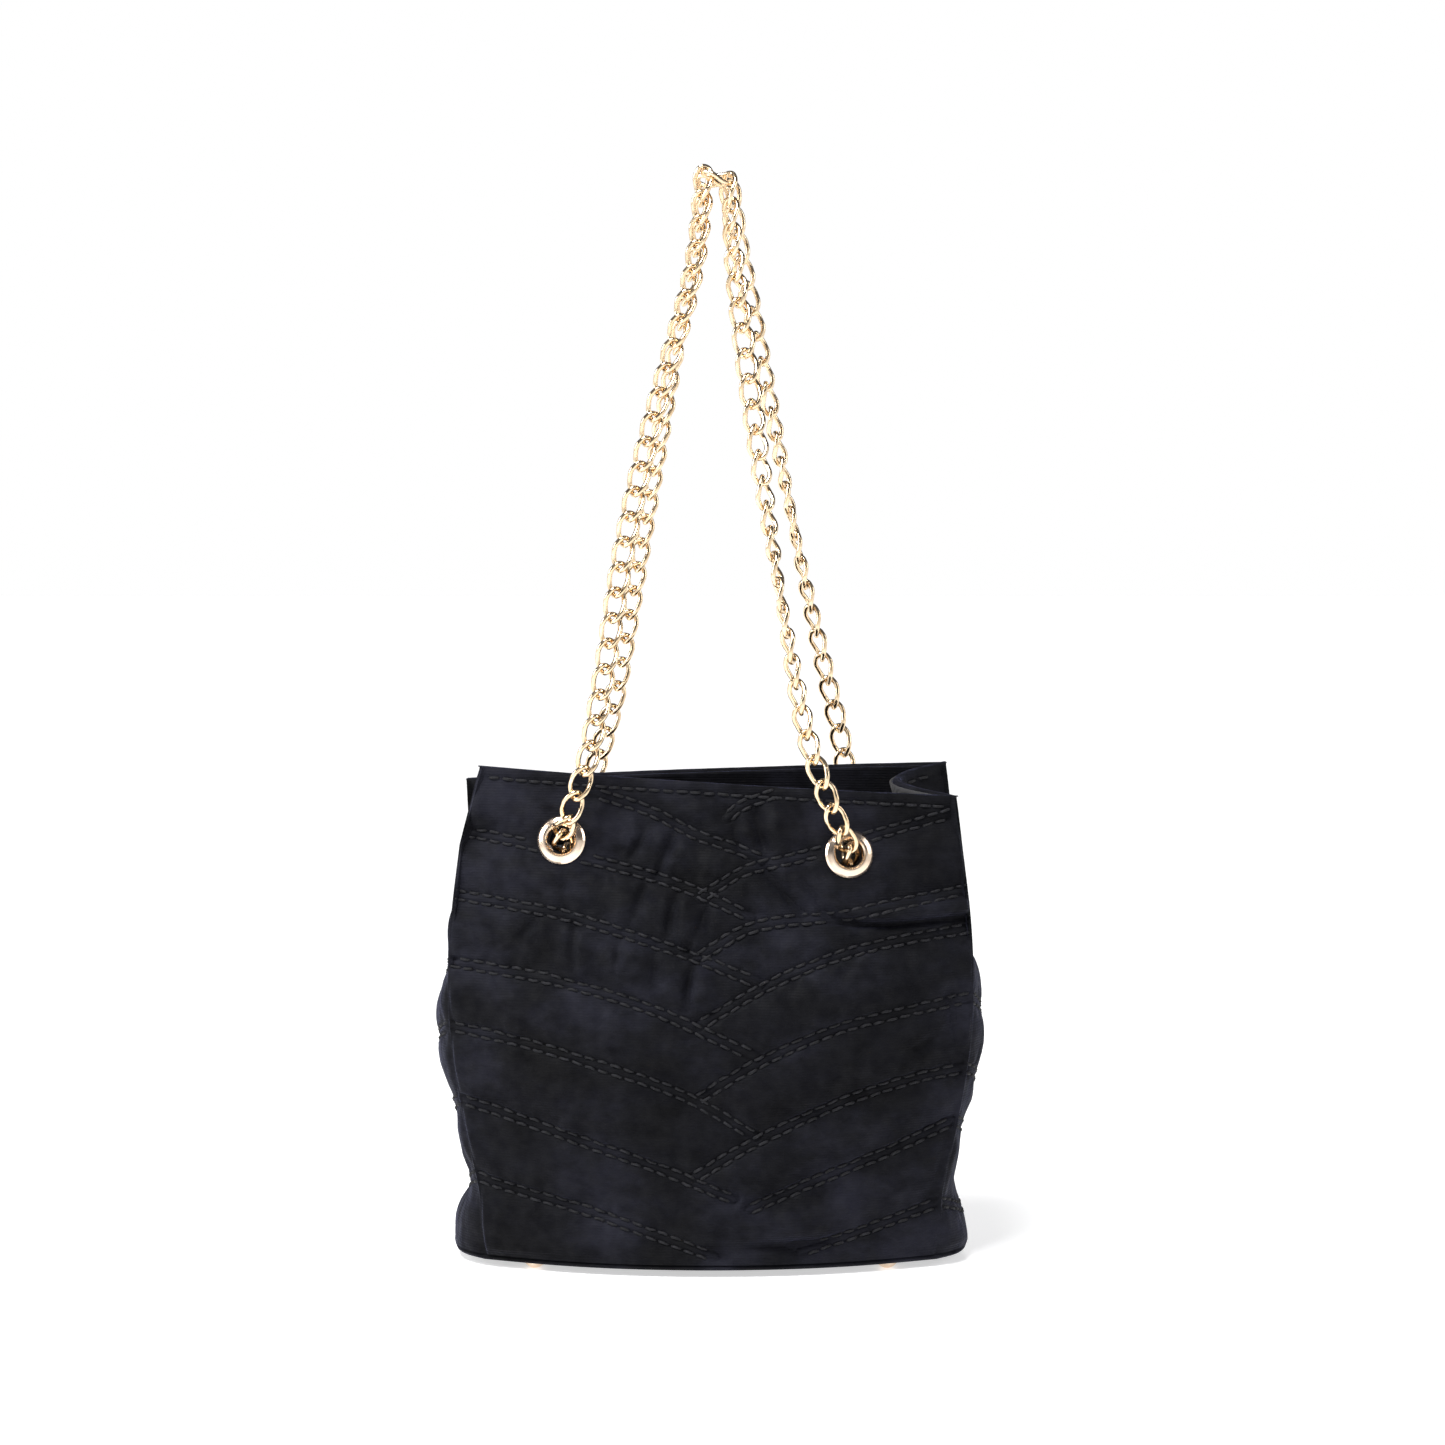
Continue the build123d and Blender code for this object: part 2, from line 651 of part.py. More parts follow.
# ---- Build ------------------------------------------------------------------------------
def build():
    nodes = {}
    lining_near = PANEL_THICK + LAYER_GAP
    lining_far = lining_near + LINING_THICK
    cuts = {key: eyelet_cut(plane) for key, plane in EYELET_PLANES.items()}
    for face in ("front", "back"):
        panel = below(layer_solid(face, 0.0, PANEL_THICK, FLOOR_EDGE), face)
        facing = layer_solid(face, lining_near, lining_far, BODY_HEIGHT - FACING_DEPTH - 15)
        facing = above(below(facing, face, 0.5), face, FACING_DEPTH)
        lining = layer_solid(face, lining_near, lining_far, BASE_LINING_LOW)
        lining = below(lining, face, FACING_DEPTH + 0.3)
        for side in ("left", "right"):
            panel -= cuts[(face, side)]
            facing -= cuts[(face, side)]
            lining -= cuts[(face, side)]
        nodes[f"{face}_panel"] = panel
        nodes[f"{face}_facing"] = facing
        nodes[f"{face}_lining"] = lining
    for side in ("left", "right"):
        gusset = below(layer_solid(side, 0.0, PANEL_THICK, FLOOR_EDGE), side)
        lining = below(layer_solid(side, lining_near, lining_far, BASE_LINING_LOW), side, 0.5)
        for face in ("front", "back"):
            gusset -= snap_cut(snap_plane(face, side))
        nodes[f"{side}_gusset"] = gusset
        nodes[f"{side}_gusset_lining"] = lining
        nodes[f"{side}_snap_socket"] = snap_socket(snap_plane("front", side))
        nodes[f"{side}_snap_stud"] = snap_stud(snap_plane("back", side))

    base = oval_slab(FOOT_HEIGHT, FLOOR_EDGE - 0.1, 5.0, 1.2)
    board = oval_slab(BOARD_LOW, BOARD_TOP, BOARD_MARGIN, BOARD_MARGIN)
    nodes["base_panel"] = base - foot_holes(0, 12)
    nodes["base_board"] = board - foot_holes(0, 12)
    nodes["base_lining"] = oval_slab(
        BASE_LINING_LOW, BASE_LINING_TOP, BASE_LINING_INSET, BASE_LINING_INSET
    )
    for (face, side), (x, y) in FEET.items():
        nodes[f"{face}_{side}_foot"] = foot(x, y)
        nodes[f"{face}_{side}_foot_washer"] = foot_washer(x, y)
    for (face, side), plane in EYELET_PLANES.items():
        nodes[f"{face}_{side}_eyelet"] = eyelet(plane)
        nodes[f"{face}_{side}_eyelet_washer"] = eyelet_washer(plane)

    link = curb_link()
    forward = Vector(0, 1, 0)
    up = Vector(0, 0, 1)
    for side in ("left", "right"):
        joints = inner_joints(side)
        joints = [hole_joints("front", side)[0]] + joints + [hole_joints("back", side)[0]]
        nodes[f"{side}_inner_chain"] = Compound([
            place_link(link, start, end, roll, up)
            for start, end, roll in zip(joints, joints[1:], inner_rolls(side))
        ])
    for face in ("front", "back"):
        ends = []
        for side in ("left", "right"):
            joints = strand_joints(face, side)
            ends.append(joints[-1])
            across = forward * SIGN[face] * -1
            rolls = strand_rolls(face, side)
            for part, (first, last) in STRAND_PARTS.items():
                nodes[f"{face}_{side}_chain_{part}"] = Compound([
                    place_link(link, joints[k], joints[k + 1], rolls[k], across)
                    for k in range(first, last or len(joints) - 1)
                ])
        roll, off = APEX_LINK[face]
        start, end = (point + Vector(*off) for point in ends)
        nodes[f"{face}_apex_link"] = place_link(link, start, end, roll, forward)
    return nodes


if __name__ == "__main__":
    os.makedirs("parts", exist_ok=True)
    for name, shape in build().items():
        export_step(shape, f"parts/{name}.step")
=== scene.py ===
import math

import bpy
import numpy as np
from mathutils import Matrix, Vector
from mathutils.bvhtree import BVHTree


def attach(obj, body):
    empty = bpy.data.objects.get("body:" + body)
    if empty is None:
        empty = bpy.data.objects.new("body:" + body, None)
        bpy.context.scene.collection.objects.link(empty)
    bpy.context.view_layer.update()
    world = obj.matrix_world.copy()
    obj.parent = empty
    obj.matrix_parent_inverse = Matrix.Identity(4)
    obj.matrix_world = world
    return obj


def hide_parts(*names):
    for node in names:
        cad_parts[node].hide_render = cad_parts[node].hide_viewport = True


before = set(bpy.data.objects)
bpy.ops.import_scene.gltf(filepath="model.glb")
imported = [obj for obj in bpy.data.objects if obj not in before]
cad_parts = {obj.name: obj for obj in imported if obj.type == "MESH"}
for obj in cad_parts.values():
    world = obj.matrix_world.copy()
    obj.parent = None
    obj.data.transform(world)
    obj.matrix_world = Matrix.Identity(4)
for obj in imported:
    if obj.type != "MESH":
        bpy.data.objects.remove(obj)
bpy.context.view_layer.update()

MM = 0.001

# ---- The bag's outer shape, as in the CAD ------------------------------------------------
FLOOR_EDGE = 5.6
BODY_HEIGHT = 219.0
PANEL_THICK = 3.0
PANEL_POWER = 2.1
FACING_DEPTH = 32.0
LINING_NEAR = 3.55
LINING_FAR = 4.25
LINING_LOW = 10.6
EDGE_DROP = 0.6  # facing and gusset lining below the mouth's edge
SEAM_CLEAR = 5.5  # the inner layers stop this far from the seams
SIGN = {"left": -1.0, "right": 1.0, "front": -1.0, "back": 1.0}
# height, seam half length, seam y, panel half depth, gusset half length
PROFILE = np.array([
    (5.6, 102.0, 38.0, 60.0, 118.0),
    (18.0, 104.0, 38.0, 60.0, 116.5),
    (34.0, 105.0, 37.5, 58.0, 111.0),
    (62.0, 111.0, 37.0, 60.0, 116.5),
    (95.0, 116.5, 37.0, 61.5, 124.5),
    (125.0, 118.5, 36.5, 60.0, 122.5),
    (155.0, 117.5, 34.5, 55.0, 112.0),
    (190.0, 113.5, 31.0, 46.0, 94.0),
    (230.0, 108.5, 28.0, 38.0, 82.0),
])
MOUTH_RISE = {
    ("front", "left"): 6.0, ("front", "right"): -7.5,
    ("back", "left"): -5.0, ("back", "right"): 3.0,
}
SEAM_LEAN = {
    ("front", "left"): -4.0, ("front", "right"): 0.0,
    ("back", "left"): 4.5, ("back", "right"): 0.0,
}
LEAN_START = 190.0
EYELETS = {
    ("front", "left"): (-66.5, 193.0), ("front", "right"): (61.5, 187.0),
    ("back", "left"): (-61.0, 190.0), ("back", "right"): (66.0, 191.0),
}
EYELET_CLEAR = 8.4  # radius of the hole cut in each cloth layer
EYELET_LEVEL = 190.0
FAR = 99.0

# ---- Quilting ---------------------------------------------------------------------------
# Chevron lines as (x, z) on the front, the left ones rising to the left edge.
QUILT = [
    [(-52, 214), (-27, 206), (-7, 196), (13, 189), (22, 185)],
    [(-112, 196), (-88, 192), (-60, 186), (-17, 175), (18, 160)],
    [(-117, 168), (-88, 164), (-60, 159), (-14, 145), (22, 131)],
    [(-119, 138), (-94, 135), (-67, 131), (-27, 120), (20, 99)],
    [(-117, 109), (-92, 105), (-65, 99), (-18, 84), (20, 63)],
    [(-111, 76), (-86, 69), (-57, 60), (-22, 48), (10, 35)],
    [(-106, 41), (-82, 35), (-57, 29), (-26, 19), (2, 9)],
    [(7, 203), (15, 209), (33, 215)],
    [(-5, 168), (15, 180), (40, 186), (73, 195), (112, 205)],
    [(-7, 142), (20, 156), (57, 160), (85, 165), (116, 170)],
    [(-5, 113), (23, 129), (52, 141), (80, 148), (118, 153)],
    [(-7, 79), (23, 97), (55, 110), (87, 117), (118, 122)],
    [(-7, 45), (21, 61), (57, 77), (88, 86), (115, 90)],
    [(17, 30), (47, 42), (79, 54), (109, 66)],
    [(40, 11), (72, 20), (103, 29)],
]
LEFT_SEAM_LINES = (196, 168, 138, 109, 76, 41)
RIGHT_SEAM_LINES = (205, 170, 153, 122, 90, 66, 29)
ROW_SPACING = 4.0
STITCH_PITCH = 6.0
STITCH_SHOWN = 4.9
THREAD_RADIUS = 0.68
# Along each stitch: share of its length, share of the thread's radius, height over the cloth.
THREAD_SHAPE = (
    (0, 0.75, -0.70), (0.16, 1.0, 0.30), (0.5, 1.05, 0.45), (0.84, 1.0, 0.30), (1, 0.75, -0.70),
)
STITCH_GAP = 12.5  # from an eyelet's centre
HEM_DROP = 4.8
HEM_SINK, HEM_SWELL = 0.45, 0.5
HEM_TURNS = (30, 65, 100, 140)  # degrees round the mouth's edge
ROW_SINK, ROW_WIDTH = 1.15, 0.95
PUFF, PUFF_REACH, PUFF_DROP = 2.3, 8.5, 1.1
PUCKER, PUCKER_REACH = 0.85, 9.5
PLEAT = 1.85
GUSSET_RELIEF = 0.62  # share of the front's relief
SEAM_SINK, SEAM_TUCK = 0.7, 1.2
CREASE_GAIN = 1.35
# Creases as (points, depth, width, swell above): folds that the soft front has taken.
FRONT_CREASES = [
    ([(46, 163), (58, 158), (74, 156), (96, 157), (117, 158), (124, 158)], 3.4, 2.0, 3.6),
    ([(22, 184), (33, 170), (43, 159)], 2.4, 2.6, 1.5),
    ([(39, 177), (47, 168), (55, 159)], 2.0, 2.2, 1.2),
    ([(19, 213), (21, 199), (25, 185)], 2.2, 2.8, 1.3),
    ([(10, 202), (12, 193), (16, 182)], 1.4, 2.2, 0.8),
    ([(8, 14), (30, 14), (58, 16)], 2.4, 3.0, 2.0),
    ([(-26, 202), (-31, 193), (-37, 184)], 1.7, 2.2, 1.1),
    ([(-15, 199), (-20, 187), (-25, 175)], 1.8, 2.3, 1.1),
    ([(-28, 176), (-33, 165), (-37, 155)], 1.9, 2.4, 1.2),
    ([(-14, 172), (-18, 161), (-20, 150)], 1.5, 2.2, 0.9),
    ([(-1, 166), (-6, 155), (-11, 143)], 2.0, 2.3, 1.2),
    ([(-60, 160), (-61, 147), (-61, 135)], 1.7, 2.4, 1.0),
    ([(-40, 155), (-41, 142), (-43, 129)], 1.8, 2.4, 1.1),
    ([(-24, 150), (-25, 138), (-26, 126)], 1.3, 2.2, 0.8),
    ([(-76, 161), (-82, 153), (-88, 147)], 1.5, 2.6, 0.8),
    ([(-8, 140), (-10, 127), (-9, 118)], 1.7, 2.2, 1.0),
    ([(50, 148), (53, 142), (54, 136)], 1.0, 2.0, 0.6),
    ([(62, 152), (64, 146), (66, 140)], 0.9, 2.0, 0.5),
    ([(106, 128), (110, 112), (111, 96)], 1.8, 3.0, 1.2),
    ([(84, 98), (98, 104), (112, 112)], 1.4, 3.0, 1.0),
    ([(107, 62), (103, 46), (98, 30)], 2.0, 3.2, 1.3),
]
BACK_CREASES = [
    ([(-104, 158), (-84, 154), (-62, 157), (-48, 162)], 1.8, 2.6, 1.8),
    ([(30, 196), (27, 186), (22, 178)], 0.9, 2.0, 0.5),
    ([(66, 150), (60, 141), (57, 134)], 0.9, 2.0, 0.5),
    ([(-44, 84), (-40, 74), (-38, 66)], 1.0, 2.2, 0.5),
    ([(84, 40), (64, 35), (46, 38)], 1.2, 3.0, 1.0),
]


def profile_at(z, column):
    """A column of PROFILE at heights z, on a smooth curve through its rows."""
    heights, values = PROFILE[:, 0], PROFILE[:, column]
    count = len(heights)
    before = np.maximum(np.arange(count) - 1, 0)
    after = np.minimum(np.arange(count) + 1, count - 1)
    slopes = (values[after] - values[before]) / (heights[after] - heights[before])
    i = np.clip(np.searchsorted(heights, z, side="left") - 1, 0, count - 2)
    span = heights[i + 1] - heights[i]
    t = (z - heights[i]) / span
    return (
        (2 * t**3 - 3 * t**2 + 1) * values[i]
        + (t**3 - 2 * t**2 + t) * slopes[i] * span
        + (3 * t**2 - 2 * t**3) * values[i + 1]
        + (t**3 - t**2) * slopes[i + 1] * span
    )


def seam_corner(z, face, side):
    lean = np.maximum(0.0, (z - LEAN_START) / (BODY_HEIGHT - LEAN_START))
    x = SIGN[side] * (profile_at(z, 1) + lean * SEAM_LEAN[(face, side)])
    return x, SIGN[face] * profile_at(z, 2)


def section_points(z, name):
    """The seven points that each height's section passes through: (heights, 7, 2)."""
    t = np.linspace(-1, 1, 7)[None, :]
    if name in ("front", "back"):
        left, right = seam_corner(z, name, "left")[0], seam_corner(z, name, "right")[0]
        x = left[:, None] + (right - left)[:, None] * (t + 1) / 2
        seam_y, deep = profile_at(z, 2)[:, None], profile_at(z, 3)[:, None]
        y = SIGN[name] * (seam_y + (deep - seam_y) * (1 - np.abs(t) ** PANEL_POWER))
        return np.stack([x, y], axis=-1)
    front, back = seam_corner(z, "front", name), seam_corner(z, "back", name)
    middle = SIGN[name] * profile_at(z, 4)
    outward = (np.abs(middle) - profile_at(z, 1)) / 14.0
    roundness = 0.62 + 0.12 * np.clip(outward, -1, 1)
    share = np.cos(np.clip(np.abs(t), 0, 1) * math.pi / 2).clip(1e-9)
    share = share ** (2 * (1 - roundness))[:, None]
    share[:, [0, -1]] = 0.0
    corner_x = np.where(t < 0, front[0][:, None], back[0][:, None])
    corner_y = np.where(t < 0, front[1][:, None], back[1][:, None])
    x = corner_x + (middle[:, None] - corner_x) * share
    return np.stack([x, corner_y * np.abs(t)], axis=-1)


def smooth_through(points, count):
    """Natural cubic curve through each row of points, at evenly spaced places."""
    rows, n, _ = points.shape
    steps = np.linalg.norm(np.diff(points, axis=1), axis=2)
    u = np.concatenate([np.zeros((rows, 1)), np.cumsum(steps, axis=1)], axis=1)
    system = np.zeros((rows, n, n))
    right = np.zeros((rows, n, 2))
    system[:, 0, 0] = system[:, -1, -1] = 1
    for k in range(1, n - 1):
        h0, h1 = u[:, k] - u[:, k - 1], u[:, k + 1] - u[:, k]
        system[:, k, k - 1], system[:, k, k], system[:, k, k + 1] = h0, 2 * (h0 + h1), h1
        right[:, k] = 6 * (
            (points[:, k + 1] - points[:, k]) / h1[:, None]
            - (points[:, k] - points[:, k - 1]) / h0[:, None]
        )
    bend = np.linalg.solve(system, right)
    at = np.linspace(0, 1, count)[None, :] * u[:, -1:]
    i = (at[:, :, None] >= u[:, None, 1:-1]).sum(-1)
    r = np.arange(rows)[:, None]
    h = u[r, i + 1] - u[r, i]
    a = ((u[r, i + 1] - at) / h)[..., None]
    b = 1 - a
    h = h[..., None]
    return (
        a * points[r, i] + b * points[r, i + 1]
        + ((a**3 - a) * bend[r, i] + (b**3 - b) * bend[r, i + 1]) * h**2 / 6
    )


def mouth_height(name, x, y):
    """Height of the mouth's edge over a point of a panel or gusset."""
    if name in ("front", "back"):
        ends, value, axis = [(name, "left"), (name, "right")], x, 0
    else:
        ends, value, axis = [("front", name), ("back", name)], y, 1
    (a, za), (b, zb) = [
        (seam_corner(np.array([BODY_HEIGHT]), *end)[axis][0], BODY_HEIGHT + MOUTH_RISE[end])
        for end in ends
    ]
    return za + (zb - za) * (value - a) / (b - a)


def wall(name, columns, rows, low=FLOOR_EDGE, drop_top=0.0, drop_low=None):
    """Points and outward normals of a panel's or gusset's outer surface, (rows, columns, 3)."""
    heights = np.linspace(FLOOR_EDGE, BODY_HEIGHT + 9, 170)
    table = smooth_through(section_points(heights, name), columns)
    near_top = int(np.searchsorted(heights, BODY_HEIGHT))
    edge = mouth_height(name, table[near_top, :, 0], table[near_top, :, 1])
    top = edge - drop_top
    bottom = np.full(columns, low) if drop_low is None else edge - drop_low
    z = bottom[None, :] + np.linspace(0, 1, rows)[:, None] * (top - bottom)[None, :]
    points = np.empty((rows, columns, 3))
    for j in range(columns):
        points[:, j, 0] = np.interp(z[:, j], heights, table[:, j, 0])
        points[:, j, 1] = np.interp(z[:, j], heights, table[:, j, 1])
    points[:, :, 2] = z
    along = np.gradient(points, axis=1)
    up = np.gradient(points, axis=0)
    normal = np.cross(along, up)
    normal /= np.linalg.norm(normal, axis=2, keepdims=True)
    outward = {"front": (0, -1, 0), "back": (0, 1, 0), "left": (-1, 0, 0), "right": (1, 0, 0)}
    if (normal @ np.array(outward[name], float)).mean() < 0:
        normal = -normal
    return points, normal, edge


# ---- Noise and distances ----------------------------------------------------------------
def noise(u, v, seed):
    """Smooth value noise from -1 to 1."""
    table = np.random.default_rng(seed).uniform(-1, 1, (64, 64))
    i, j = np.floor(u).astype(int), np.floor(v).astype(int)
    a, b = u - i, v - j
    a, b = a * a * (3 - 2 * a), b * b * (3 - 2 * b)
    return (
        table[i % 64, j % 64] * (1 - a) * (1 - b) + table[(i + 1) % 64, j % 64] * a * (1 - b)
        + table[i % 64, (j + 1) % 64] * (1 - a) * b + table[(i + 1) % 64, (j + 1) % 64] * a * b
    )


def smooth_line(points, step=1.5):
    """A flowing line through the given points, sampled about every step."""
    points = np.array(points, float)
    ends = np.vstack([2 * points[0] - points[1], points, 2 * points[-1] - points[-2]])
    out = []
    for k in range(1, len(ends) - 2):
        p0, p1, p2, p3 = ends[k - 1:k + 3]
        n = max(2, int(np.linalg.norm(p2 - p1) / step))
        t = (np.arange(n) / n)[:, None]
        out.append(0.5 * (2 * p1 + (p2 - p0) * t + (2 * p0 - 5 * p1 + 4 * p2 - p3) * t**2
                          + (3 * p1 - p0 - 3 * p2 + p3) * t**3))
    return np.vstack(out + [points[-1:]])


def line_field(line, u, v, reach):
    """Signed distance to a line and the length along it, near the line; inf elsewhere."""
    distance = np.full(u.shape, np.inf)
    along = np.zeros(u.shape)
    low, high = line.min(axis=0) - reach, line.max(axis=0) + reach
    near = (u > low[0]) & (u < high[0]) & (v > low[1]) & (v < high[1])
    p = np.stack([u[near], v[near]], axis=-1)
    best = np.full(len(p), np.inf)
    signed, length = np.zeros(len(p)), np.zeros(len(p))
    travelled = 0.0
    for a, b in zip(line, line[1:]):
        step = b - a
        size = np.linalg.norm(step)
        t = np.clip(((p - a) @ step) / size**2, 0, 1)
        gap = p - (a + t[:, None] * step)
        far = np.linalg.norm(gap, axis=1)
        closer = far < best
        best[closer] = far[closer]
        side = step[0] * gap[:, 1] - step[1] * gap[:, 0]
        signed[closer] = (far * np.where(side >= 0, 1, -1))[closer]
        length[closer] = (travelled + t * size)[closer]
        travelled += size
    distance[near] = signed
    along[near] = length
    return distance, along


def relief(name, u, v, lines, creases, seam_gap, hem_gap, seed):
    """How far the quilted surface stands off its plain shape, in millimetres."""
    nearest = np.full(u.shape, 60.0)
    sunk = np.zeros(u.shape)
    pucker = np.zeros(u.shape)
    for k, line in enumerate(lines):
        d, s = line_field(line, u, v, 26.0)
        far = np.abs(d)
        nearest = np.minimum(nearest, far)
        rows = np.exp(-(((far - ROW_SPACING / 2) / ROW_WIDTH) ** 2))
        sunk = np.maximum(sunk, np.where(np.isfinite(d), ROW_SINK * rows, 0))
        far = np.where(np.isfinite(far), far, FAR)
        flow = noise(s / 6.5, far / 24.0 + 7 * k, seed + k)
        flow += 0.6 * noise(s / 3.1, far / 14.0, seed + 40 + k)
        side = np.where(d > 0, 1.0, 0.75)
        close = np.exp(-((far / PUCKER_REACH) ** 2)) * np.clip((far - 1.4) / 2.2, 0, 1)
        pucker += PUCKER * side * flow * close
    puff = PUFF * (1 - np.exp(-((nearest / PUFF_REACH) ** 2))) - PUFF_DROP
    soft = (
        1.5 * noise(u / 46 + 3, v / 38, seed + 90)
        + 0.75 * noise(u / 21, v / 16 + 5, seed + 91)
        + 0.28 * noise(u / 8, v / 6, seed + 92)
        + 0.10 * noise(u / 3.2, v / 2.4, seed + 93)
    )
    pleat = noise((u + 0.3 * v) / 9.0, v / 36.0, seed + 95)
    pleat += 0.5 * noise((u - 0.1 * v) / 4.6, v / 22.0, seed + 96)
    where = 0.6
    if name == "front":
        where = 0.35 + 1.0 * np.exp(-(((u + 22) / 48) ** 2) - (((v - 158) / 42) ** 2))
    out = puff + soft + pucker - sunk
    out += PLEAT * where * pleat * np.clip((nearest - 1.5) / 5.0, 0, 1)
    for points, depth, width, swell in creases:
        line = smooth_line(points)
        d, s = line_field(line, u, v, 22.0)
        total = np.linalg.norm(np.diff(line, axis=0), axis=1).sum()
        fade = np.sin(np.clip(s / total, 0, 1) * math.pi) ** 0.6
        d = np.where(np.isfinite(d), d, FAR)
        out += CREASE_GAIN * fade * (swell * np.exp(-(((d - 2.6 * width) / (1.9 * width)) ** 2))
                                     - depth * np.exp(-((d / width) ** 2)))
    if name in ("left", "right"):
        out *= GUSSET_RELIEF
    out -= SEAM_SINK * np.exp(-((seam_gap / 3.2) ** 2))
    hem = np.clip((hem_gap - 7.0) / 6.0, 0, 1)
    calm = 0.25 + 0.75 * hem
    out = out * calm - HEM_SINK * np.exp(-(((hem_gap - HEM_DROP) / 1.1) ** 2))
    out += HEM_SWELL * np.exp(-(((hem_gap - 1.8) / 1.8) ** 2))
    return out


# ---- Meshes -----------------------------------------------------------------------------
def mesh_object(name, verts, faces, material, smooth=True):
    mesh = bpy.data.meshes.new(name)
    mesh.from_pydata((np.asarray(verts, float) * MM).tolist(), [], faces)
    mesh.update()
    if smooth:
        mesh.polygons.foreach_set("use_smooth", [True] * len(mesh.polygons))
    obj = bpy.data.objects.new(name, mesh)
    bpy.context.scene.collection.objects.link(obj)
    mesh.materials.append(material)
    return obj


def grid_faces(rows, columns, flip, skip=None, start=0):
    faces = []
    for i in range(rows - 1):
        for j in range(columns - 1):
            if skip is not None and skip[i, j]:
                continue
            a = start + i * columns + j
            quad = (a, a + 1, a + columns + 1, a + columns)
            faces.append(quad[::-1] if flip else quad)
    return faces


def seam_distance(points):
    """How far each point of a wall is, along its row, from the nearer seam."""
    steps = np.linalg.norm(np.diff(points, axis=1), axis=2)
    run = np.concatenate([np.zeros((len(points), 1)), np.cumsum(steps, axis=1)], axis=1)
    return np.minimum(run, run[:, -1:] - run)


def eyelet_distance(name, points):
    """Distance from the nearest eyelet's centre on a panel; far on a gusset."""
    gap = np.full(points.shape[:2], FAR)
    if name in ("front", "back"):
        for side in ("left", "right"):
            x, z = EYELETS[(name, side)]
            row = points[np.abs(points[:, points.shape[1] // 2, 2] - z).argmin()]
            y = row[np.abs(row[:, 0] - x).argmin(), 1]
            there = np.linalg.norm(points - np.array([x, y, z]), axis=2)
            gap = np.minimum(gap, there)
    return gap


def holes(gap):
    """Which faces of a grid go, round an eyelet."""
    middle = (gap[:-1, :-1] + gap[1:, :-1] + gap[:-1, 1:] + gap[1:, 1:]) / 4
    return middle < EYELET_CLEAR


def quilt_lines(name):
    if name in ("front", "back"):
        return [smooth_line(points) for points in QUILT]
    heights = LEFT_SEAM_LINES if name == "left" else RIGHT_SEAM_LINES
    lines = []
    for h in heights:
        dip = 9.0 + 0.02 * h
        lines.append(smooth_line([(-37, h), (-18, h - 0.55 * dip), (0, h - dip),
                                  (18, h - 0.55 * dip), (37, h)]))
    return lines


FLIP = {"front": False, "back": True, "left": True, "right": False}
INSIDE_ROWS = 46


def quilted(name, columns, rows, material):
    """A quilted side of the bag: outside, over the mouth's edge, and down its inside."""
    points, normal, edge = wall(name, columns, rows)
    seam_gap = seam_distance(points)
    hem_gap = edge[None, :] - points[:, :, 2]
    u = points[:, :, 0] if name in ("front", "back") else points[:, :, 1]
    creases = {"front": FRONT_CREASES, "back": BACK_CREASES}.get(name, [])
    seed = {"front": 11, "back": 211, "left": 411, "right": 611}[name]
    lines = quilt_lines(name)
    stand = relief(name, u, points[:, :, 2], lines, creases, seam_gap, hem_gap, seed)
    eyes = eyelet_distance(name, points)
    calm = np.clip((eyes - 11.5) / 7.0, 0, 1)
    angle = np.arctan2(points[:, :, 2] - EYELET_LEVEL, u)
    ring = 0.5 * np.exp(-(((eyes - 14.5) / 3.0) ** 2)) * (1 + 0.6 * np.sin(40 * angle))
    stand = stand * calm + ring - 0.55 * (1 - calm)
    stand *= np.clip((points[:, :, 2] - FLOOR_EDGE) / 4.0, 0.1, 1)
    seam = np.exp(-((seam_gap / 1.7) ** 2))[:, :, None]
    tuck = np.stack([-0.78 * np.sign(points[:, :, 0]), -0.62 * np.sign(points[:, :, 1]),
                     np.zeros_like(eyes)], axis=-1)
    outer = points + normal * stand[:, :, None] * (1 - seam) + tuck * SEAM_TUCK * seam
    sheets, gaps = [outer], [eyes]
    for turn in HEM_TURNS:
        a = math.radians(turn)
        lifted = points[-1] - normal[-1] * (1.5 - 1.5 * math.cos(a))
        lifted = lifted + normal[-1] * stand[-1][:, None] * (1 - turn / 160)
        lifted[:, 2] += 1.3 * math.sin(a) - 0.9
        sheets.append(lifted[None])
        gaps.append(np.full((1, columns), FAR))
    pick = np.linspace(rows - 1, 0, INSIDE_ROWS).astype(int)
    inner = points[pick] - normal[pick] * PANEL_THICK
    inner[0, :, 2] -= 0.8
    sheets.append(inner)
    gaps.append(eyelet_distance(name, points[pick]))
    grid = np.concatenate(sheets)
    gap = np.concatenate(gaps)
    faces = grid_faces(len(grid), columns, FLIP[name], holes(gap))
    obj = mesh_object(f"velvet_{name}", grid.reshape(-1, 3), faces, material)
    return obj, outer, lines


def tube(path, radii, sides=6):
    """Vertices and faces of a closed tube along a few points."""
    verts, faces = [], []
    count = len(path)
    for k, p in enumerate(path):
        ahead = path[min(k + 1, count - 1)] - path[max(k - 1, 0)]
        ahead = ahead / np.linalg.norm(ahead)
        side = np.cross(ahead, (0.13, 0.21, 0.97))
        side /= np.linalg.norm(side)
        up = np.cross(side, ahead)
        for s in range(sides):
            a = 2 * math.pi * s / sides
            verts.append(p + radii[k] * (math.cos(a) * side + math.sin(a) * up))
    for k in range(count - 1):
        for s in range(sides):
            a, b = k * sides + s, k * sides + (s + 1) % sides
            faces.append((a, b, b + sides, a + sides))
    faces.append(tuple(range(sides))[::-1])
    faces.append(tuple((count - 1) * sides + s for s in range(sides)))
    return verts, faces


def offset_row(line, distance):
    step = np.gradient(line, axis=0)
    step /= np.linalg.norm(step, axis=1, keepdims=True)
    return line + np.stack([-step[:, 1], step[:, 0]], axis=1) * distance


